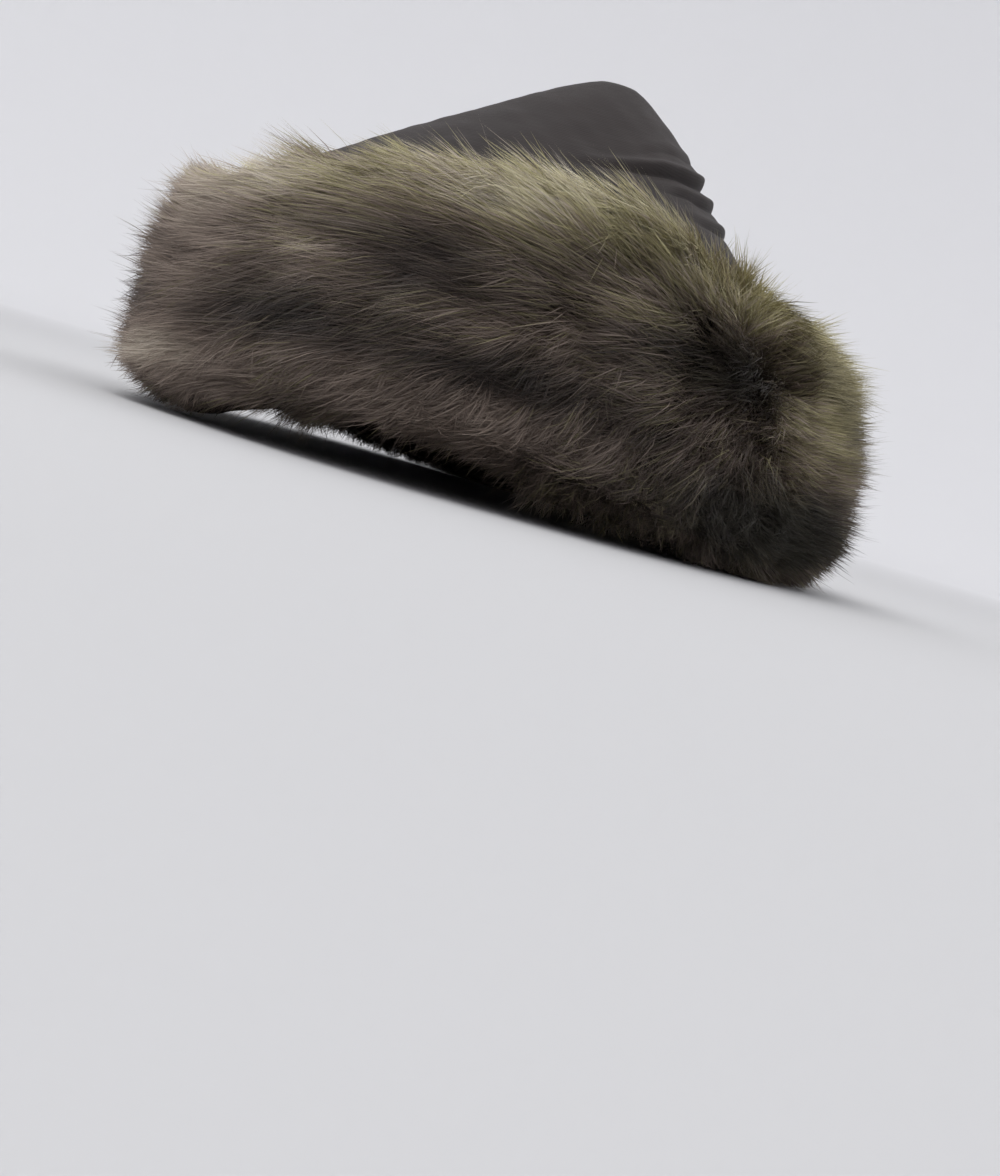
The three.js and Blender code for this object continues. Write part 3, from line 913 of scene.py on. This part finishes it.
def tone_at(turn, height):
    """Tone and khaki share of the fur: lighter and more khaki towards the crest, but not where the crest is
    low, plus streaks drawn out along the hair and the soft patches. The lighter crest is partly the fur's own
    paler tips and partly painted light from above on the top of the cuff, and the patches are partly painted
    light and shade."""
    share = height / section_at(turn, 1)
    # Painted light, with the fur's own paler tips: the top of the cuff is made lighter, as light falls on it from
    # above.
    tone = 0.33 + 0.40 * ease(share, 0.66, 1.0)
    khaki = 0.20 + 0.45 * ease(share, 0.6, 0.95)
    degrees = wrapped(turn, -180.0)
    low_crest = bell(degrees, -28, 22.0) * ease(share, 0.66, 1.0)
    tone = tone - 0.4 * low_crest
    khaki = khaki - 0.5 * low_crest
    around = np.stack([np.cos(turn) * 22, np.sin(turn) * 22, height + 7 * np.sin(2 * turn)], axis=-1)
    tone = tone + 0.03 * soft_waves(around, 14, 11)
    mirrored = np.abs(degrees)
    # The patches hold painted light and shade as well as the fur's own tone.
    for at, high, wide, tall, more, greener in PATCHES:
        here = np.exp(-(((mirrored - at) / wide) ** 2) - (((height - high) / tall) ** 2))
        tone = tone + more * here
        khaki = khaki + greener * here
    return tone, khaki


def turn_of(points):
    """The turns of points: where the head oval has their direction."""
    return np.arctan2(points[..., 0] / OPENING_HALF_WIDTH, -points[..., 1] / OPENING_HALF_LENGTH)


def clear_of_crown(points):
    """Moves points that are inside the crown out to its surface: at each height the crown is its oval drawn
    in towards the peak, and a point inside is scaled out from that oval's middle."""
    front = (1 + np.cos(turn_of(points))) / 2
    shoulder = mix(SHOULDER_BACK, SHOULDER_FRONT, front)
    rise = np.clip((points[..., 2] - shoulder) / (PEAK_HEIGHT - shoulder), 0, 1)
    spread = crown_spread(rise, front)
    middle = PEAK_BACK * (1 - spread)
    half_width = (OPENING_HALF_WIDTH + CLOTH_WALL) * spread + CROWN_CLEARANCE
    half_length = (OPENING_HALF_LENGTH + CLOTH_WALL) * spread + CROWN_CLEARANCE
    reach = np.hypot(points[..., 0] / half_width, (points[..., 1] - middle) / half_length)
    out = np.maximum(1 / np.maximum(reach, 0.05), 1)
    moved = points.copy()
    moved[..., 0] *= out
    moved[..., 1] = middle + (points[..., 1] - middle) * out
    return moved


def lock_habits(rng, turn, run, length_mm):
    """How the hair of each lock lies: its fan and lift, its length, how closely it hugs the padded form, how
    deep its roots lie for its tips to stand proud by proud_at, and its own change of tone and khaki."""
    ahead, up, lift = combed(turn, run)
    count = len(turn)
    strength = np.hypot(ahead, up)
    loose = 0.5 * (1 - ease(strength, 0.05, 0.8))
    fan = np.arctan2(up + loose * rng.normal(0, 1, count), ahead + loose * rng.normal(0, 1, count))
    fan += np.radians(rng.normal(0, 12, count))
    high = height_share(run)
    degrees = wrapped(turn, -180.0)
    erect = erect_share(turn)
    # Shorter at the foot, along the crest, where the hair parts, at the low front end and round the back.
    fringe = mix(0.14, 0.06, ease(np.abs(degrees), 74, 100))
    length = length_mm * (1 + rng.normal(0, 0.1, count)) * (0.7 + 0.3 * ease(high, 0.02, 0.25))
    length *= (1 - fringe * ease(high, 0.7, 0.97)) * (1 - 0.3 * (1 - ease(strength, 0.1, 0.9)))
    length *= 1 - 0.2 * bell(degrees, -26, 34.0)
    length *= 1 - 0.2 * erect
    # Looser from the form at the crest, round the back and over the arch.
    hug = 0.8 * (1 - (0.8 - 0.4 * bell(degrees, -26, 40.0)) * ease(high, 0.58, 0.84)) * (1 - 0.5 * erect)
    hug *= 1 - 0.5 * arch_share(turn) * (1 - ease(high, 0.0, 0.2))
    stand = length * np.sin(np.radians(lift)) * (1 - SINKING * hug) + TALLEST_RIDGE / 2
    sink = np.clip(stand - proud_at(turn, high), *ROOT_DEPTHS) + rng.normal(0, 1.0, count)
    lift = lift + rng.normal(0, 4, count)
    tone = rng.normal(0, 0.035, count)
    khaki = rng.normal(0, 0.12, count)
    return SimpleNamespace(
        turn=turn, run=run, fan=fan, lift=lift, length=length, hug=hug, sink=sink, tone=tone, khaki=khaki,
        ridge=np.zeros(count),
    )


def gathered_hairs(rng, hair):
    """The single hairs of the locks: each lock is repeated for its clumps, each clump for its wisps and each
    wisp for its hairs, each with an offset from the middle of what it belongs to and a change of its own.
    Then some are made guard hairs. Returns the hairs, and the offsets, each with its gather."""
    offsets = []
    for inside, radius, *spreads, gather, ridge, darker in GATHERINGS:
        fan_spread, lift_spread, length_spread, tone_spread = spreads
        hair = SimpleNamespace(**{name: np.repeat(values, inside) for name, values in vars(hair).items()})
        offsets = [(np.repeat(offset, inside, axis=0), shrink) for offset, shrink in offsets]
        count = len(hair.turn)
        away = radius * np.sqrt(rng.uniform(0, 1, count))
        angle = rng.uniform(0, FULL_TURN, count)
        offsets.append((np.stack([away * np.cos(angle), away * np.sin(angle)], axis=-1), gather))
        hair.fan += np.radians(rng.normal(0, fan_spread, count))
        hair.lift += rng.normal(0, lift_spread, count)
        hair.length *= 1 + length_spread * np.clip(rng.normal(0, 1, count), -2, 1.4)
        hair.tone += rng.normal(0, tone_spread, count)
        fullness = 1 - (away / radius) ** 2
        hair.ridge += ridge * fullness
        # Painted shade: the rim of a lock is made darker, as shade falls in the partings between locks.
        hair.tone -= darker * (1 - fullness)
    hair.guard = rng.uniform(0, 1, count) < GUARD_SHARE
    shorter = 0.98 - 0.1 * ease(height_share(hair.run), 0.6, 0.9)
    hair.lift = np.radians(np.clip(np.where(hair.guard, hair.lift + 9, hair.lift), *LIFTS))
    hair.tone = np.where(hair.guard, hair.tone + 0.03, hair.tone)
    hair.length = np.clip(np.where(hair.guard, shorter * hair.length, hair.length), *LENGTHS)
    hair.hug = np.where(hair.guard, hair.hug * 0.6, hair.hug)
    return hair, offsets


def hair_points(hair, offsets):
    """Points on each hair's stations, and its normal. A hair starts at its lock's place plus its offsets and
    runs along its fan, while each offset shrinks by its gather x station^1.3. By the share of hug it follows
    the padded form, going straight on past its brow, at a height of
    ridge + length x sin lift x station x (1 - 0.35 station). Otherwise it is a straight line from its root,
    which sags by 0.06 x length x station^2."""
    per_radian = cuff_frame(hair.turn, hair.run)[-1]
    root_offset = sum(offset for offset, _ in offsets)
    root_turn = hair.turn - root_offset[:, 0] / per_radian
    root_run = np.minimum(hair.run + root_offset[:, 1], LAST_ROOT)
    root = cuff_point(root_turn, root_run)
    _, ahead, up, normal, _ = cuff_frame(root_turn, np.minimum(root_run, BROW))
    direction = ahead * np.cos(hair.fan)[:, None] + up * np.sin(hair.fan)[:, None]
    start = root - normal * hair.sink[:, None]
    points = np.empty((len(root), len(STATIONS), 3))
    for number, station in enumerate(STATIONS):
        offset = sum(whole * (1 - shrink * station**1.3) for whole, shrink in offsets)
        gathered = offset - root_offset
        far = hair.length * station * np.cos(hair.lift)
        rise = hair.length * np.sin(hair.lift) * station
        ridge = hair.ridge * min(1.0, 2 * station)
        turn = hair.turn - (offset[:, 0] + far * np.cos(hair.fan)) / per_radian
        run = hair.run + offset[:, 1] + far * np.sin(hair.fan)
        form, _, form_up, form_normal, _ = cuff_frame(turn, np.clip(run, FORM_START, BROW))
        hugging = form + form_up * np.maximum(run - BROW, 0)[:, None]
        hugging += form_normal * (ridge + rise * (1 - SINKING * station) - hair.sink)[:, None]
        straight = start + direction * far[:, None] + normal * ridge[:, None] + normal * rise[:, None]
        straight += ahead * gathered[:, :1] + up * gathered[:, 1:]
        straight[:, 2] -= SAG * hair.length * station**2
        points[:, number] = mix(straight, hugging, hair.hug[:, None])
    return points, normal


def grow_hair(rng, turn, run, length_mm):
    """The hairs of the locks as points on three stations each, with their normal, tone and khaki, and which
    are guard hairs. They are moved clear of the crown, the middle at least 0.6 times as far as the tip so
    that a hair stays straight, and clear of the floor. The tone is that of the zone where a hair shows."""
    hair, offsets = gathered_hairs(rng, lock_habits(rng, turn, run, length_mm))
    points, normal = hair_points(hair, offsets)
    push = clear_of_crown(points) - points
    lesser = 0.6 * push[:, 2]
    further = np.linalg.norm(lesser, axis=-1) > np.linalg.norm(push[:, 1], axis=-1)
    push[:, 1] = np.where(further[:, None], lesser, push[:, 1])
    points = points + push
    lowest = 0.3 + rng.uniform(0, 0.9, len(points))[:, None]
    points[..., 2] = np.maximum(points[..., 2], lowest)
    shown = points[:, 1:].mean(1)
    tone, khaki = tone_at(turn_of(shown), shown[:, 2])
    return points, normal, np.clip(tone + hair.tone, 0.02, 0.98), khaki + hair.khaki, hair.guard


def slivers(rng, points, normal, tone, khaki, guard, width_mm):
    """Hairs as slim folded slivers of two triangles: a point at the root, two corners at the middle and a
    point at the tip. The corners are set out square to the hair and to the surface, and then twisted about
    the hair by a random angle near 0. Guard hairs are half as wide."""
    count = len(points)
    along = unit(points[:, 2] - points[:, 0])
    side = unit(np.cross(along, normal))
    twist = np.radians(rng.normal(0, 34, count))[:, None]
    side = side * np.cos(twist) + np.cross(along, side) * np.sin(twist)
    wide = width_mm * rng.uniform(0.75, 1.25, count) * np.where(guard, 0.5, 1.0)
    out = 0.5 * wide[:, None] * side
    corners = np.stack([points[:, 0], points[:, 1] - out, points[:, 1] + out, points[:, 2]], axis=1)
    triangles = np.array([0, 2, 1, 1, 2, 3])
    faces = (np.arange(count)[:, None] * 4 + triangles).reshape(-1, 3)
    is_khaki = rng.uniform(0, 1, count) < khaki
    across = 0.5 * is_khaki + 0.5 * (0.012 + 0.976 * tone)
    u = np.array([0.0, -0.0025, 0.0025, 0.0])
    v = STATIONS[[0, 1, 1, 2]] * 0.98 + 0.01
    uv = np.stack([across[:, None] + u[triangles], np.broadcast_to(v[triangles], (count, 6))], axis=-1)
    return corners.reshape(-1, 3), (faces,), uv.reshape(-1, 2)


HAIR_PIECES = ("fur_front", "fur_left_side", "fur_left_back", "fur_right_back", "fur_right_side")


class HAT_OT_fur(Operator):
    """Grow the long fur of the cuff in five pieces round the hat"""

    bl_idname = "hat.fur"
    bl_label = "Long fur"

    def execute(self, context):
        settings = context.scene.hat_fur
        rng = np.random.default_rng(21)
        # Every second row of locks is half a step on, and each lock is shaken out of line.
        rows, in_row = settings.lock_rows, settings.locks_in_row
        row, column = np.meshgrid(np.arange(rows), np.arange(in_row), indexing="ij")
        shaken = rng.uniform(-0.5, 0.5, (2, rows, in_row))
        lock_turn = (column + 0.5 * (row % 2) + 0.9 * shaken[0]) / in_row * FULL_TURN
        lock_run = mix(run_at(0.10), run_at(0.735), (row + 0.5 + 0.9 * shaken[1]) / rows)
        lock_turn, lock_run = lock_turn.ravel(), lock_run.ravel()
        # From 36 degrees to the wearer's right of the front, in order round the hat.
        order = np.argsort(np.mod(lock_turn + FULL_TURN / 10, FULL_TURN))
        material = fur_material()
        for name, chosen in zip(HAIR_PIECES, np.array_split(order, len(HAIR_PIECES))):
            hair = grow_hair(rng, lock_turn[chosen], lock_run[chosen], settings.hair_length / MM)
            piece = new_object(name, *slivers(rng, *hair, settings.hair_width / MM), material)
            finish_piece(piece, "fur")
        return {"FINISHED"}


def floor_material(colour):
    """A pale matt finish that gets paler from 0.4 m to 1.8 m out from the middle, where less light falls."""
    material, nodes, shader = new_material("floor")
    place = nodes.add("ShaderNodeTexCoord").outputs["Object"]
    from_middle = nodes.add("ShaderNodeVectorMath", {0: place}, operation="LENGTH").outputs["Value"]
    out = nodes.maths("DIVIDE", nodes.maths("SUBTRACT", from_middle, 0.4), 1.4, clamp=True)
    paler = tuple(min(0.92, c * 1.55) for c in colour)
    base = nodes.ramp(out, [(0.0, colour), (1.0, paler)], smooth=True)
    nodes.feed(shader, {"Base Color": base, "Roughness": 0.8, "Specular IOR Level": 0.1})
    return material


IMAGE_WIDTH = 1000
IMAGE_HEIGHT = 1176
HAT_PIXEL = (496.0, 335.0)  # where the middle of the hat stands in the picture
HAT_MIDDLE_HEIGHT = 0.051
PIXELS_PER_METRE = 3049.0  # at the middle of the hat


class HAT_OT_stage(Operator):
    """Build the pale floor, the soft studio light and the camera"""

    bl_idname = "hat.stage"
    bl_label = "Stage"

    def execute(self, context):
        settings = context.scene.hat_stage
        self.build_floor(settings)
        self.build_lights(context, settings)
        self.place_camera(context, settings)
        context.scene.view_settings.view_transform = "Standard"
        return {"FINISHED"}

    def build_floor(self, settings):
        """A round dish: flat for 1.5 m, then up along a quarter circle of 1.1 m to an upright rim."""
        columns = 96
        flat = np.array([(0.15, 0.0), (0.5, 0.0), (1.0, 0.0), (1.5, 0.0)])
        angle = np.linspace(0, math.pi / 2, 15)[1:]
        curve = np.column_stack([1.5 + 1.1 * np.sin(angle), 1.1 - 1.1 * np.cos(angle)])
        profile = np.vstack([flat, curve, [(2.6, 1.6), (2.6, 2.4)]]) / MM
        turns = np.arange(columns) / columns * FULL_TURN
        radius, height = profile[:, :1], profile[:, 1:]
        x, y = radius * np.cos(turns), radius * np.sin(turns)
        points = np.stack([x, y, np.broadcast_to(height, x.shape)], axis=-1)
        quads = loop_grid(len(profile), columns)[0]
        points = np.vstack([points.reshape(-1, 3), (0, 0, 0)])
        column = np.arange(columns)
        faces = (quads[:, ::-1], fan_faces(len(points) - 1, column, (column + 1) % columns))
        uv = np.vstack([points[group.ravel(), :2] for group in faces]) * (MM / 5.4) + 0.5
        floor = new_object("floor", points, faces, uv, floor_material(tuple(settings.floor_colour)))
        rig.stage(floor)

    def build_lights(self, context, settings):
        """An even pale sky, a large key light above on the camera's left, and a weak one behind."""
        world = bpy.data.worlds.new("soft sky")
        world.use_nodes = True
        background = world.node_tree.nodes["Background"]
        background.inputs["Color"].default_value = (0.97, 0.97, 1.0, 1.0)
        background.inputs["Strength"].default_value = settings.sky_strength
        context.scene.world = world
        lights = (
            # name, turn and height in degrees as seen from the hat, distance, size, share of the key's power
            ("key light", 0.0, 66.0, 1.25, 0.9, 1.0),
            ("back light", 160.0, 50.0, 1.4, 0.9, 0.3),
        )
        for name, turn, high, distance, size, share in lights:
            turn, high = math.radians(turn), math.radians(high)
            flat = math.cos(high)
            toward = Vector((math.sin(turn) * flat, -math.cos(turn) * flat, math.sin(high)))
            light = bpy.data.lights.new(name, "AREA")
            light.shape = "DISK"
            light.size = size
            light.energy = settings.key_power * share
            lamp = bpy.data.objects.new(name, light)
            lamp.location = Vector(MIDDLE) + toward * distance + Vector((0, 0, 0.06))
            lamp.rotation_euler = toward.to_track_quat("Z", "Y").to_euler()
            context.scene.collection.objects.link(lamp)

    def place_camera(self, context, settings):
        """Stands the camera at its turn, distance and height, and turns it so that the middle of the hat
        falls on HAT_PIXEL, with the picture's up tipped by the roll from the hat's own up."""
        turn, roll = settings.camera_turn, settings.camera_roll
        back = Vector((math.sin(turn), -math.cos(turn), 0))
        eye = Vector(MIDDLE) + back * settings.camera_distance + Vector((0, 0, settings.camera_height))
        target = Vector(MIDDLE) + Vector((0, 0, HAT_MIDDLE_HEIGHT))
        away = (eye - target).normalized()
        up = (Vector((0, 0, 1)) - away * away.z).normalized()
        right = up.cross(away)
        rolled_right = right * math.cos(roll) + up * math.sin(roll)
        rolled_up = up * math.cos(roll) - right * math.sin(roll)
        facing = Matrix((rolled_right, rolled_up, away)).transposed()
        focal = PIXELS_PER_METRE * (eye - target).length
        seen = Vector((HAT_PIXEL[0] - IMAGE_WIDTH / 2, IMAGE_HEIGHT / 2 - HAT_PIXEL[1], -focal))
        swing = seen.normalized().rotation_difference(Vector((0, 0, -1))).to_matrix()
        camera_data = bpy.data.cameras.new("camera")
        camera_data.sensor_width = 36.0
        camera_data.lens = 36.0 * focal / IMAGE_HEIGHT
        camera_data.clip_start = 0.01
        camera = bpy.data.objects.new("camera", camera_data)
        camera.matrix_world = Matrix.Translation(eye) @ (facing @ swing).to_4x4()
        context.scene.collection.objects.link(camera)
        context.scene.camera = camera


class HAT_PT_panel(Panel):
    """The hat's pieces and their settings"""

    bl_idname = "HAT_PT_panel"
    bl_label = "Fur-Trimmed Hat"
    bl_space_type = "VIEW_3D"
    bl_region_type = "UI"
    bl_category = "Hat"

    def draw(self, context):
        scene = context.scene
        for operator, group in (
            ("hat.stage", scene.hat_stage),
            ("hat.underfur", None),
            ("hat.crown", scene.hat_crown),
            ("hat.fur", scene.hat_fur),
        ):
            box = self.layout.box()
            for name in group.bl_rna.properties.keys() if group else ():
                if name not in ("name", "rna_type"):
                    box.prop(group, name)
            box.operator(operator)


CLASSES = (
    HatCrownSettings,
    HatFurSettings,
    HatStageSettings,
    HAT_OT_crown,
    HAT_OT_underfur,
    HAT_OT_fur,
    HAT_OT_stage,
    HAT_PT_panel,
)


def register():
    for cls in CLASSES:
        bpy.utils.register_class(cls)
    bpy.types.Scene.hat_crown = PointerProperty(type=HatCrownSettings)
    bpy.types.Scene.hat_fur = PointerProperty(type=HatFurSettings)
    bpy.types.Scene.hat_stage = PointerProperty(type=HatStageSettings)


def unregister():
    for name in ("hat_crown", "hat_fur", "hat_stage"):
        delattr(bpy.types.Scene, name)
    for cls in reversed(CLASSES):
        bpy.utils.unregister_class(cls)


def main():
    register()
    bpy.ops.hat.stage()
    bpy.ops.hat.underfur()
    bpy.ops.hat.crown()
    bpy.ops.hat.fur()
    with open("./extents.json", "w") as f:
        json.dump({"cad": [list(c) for c in CAD_BOX], "scene": [list(c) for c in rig.bounds()]}, f)


if __name__ == "__main__":
    main()
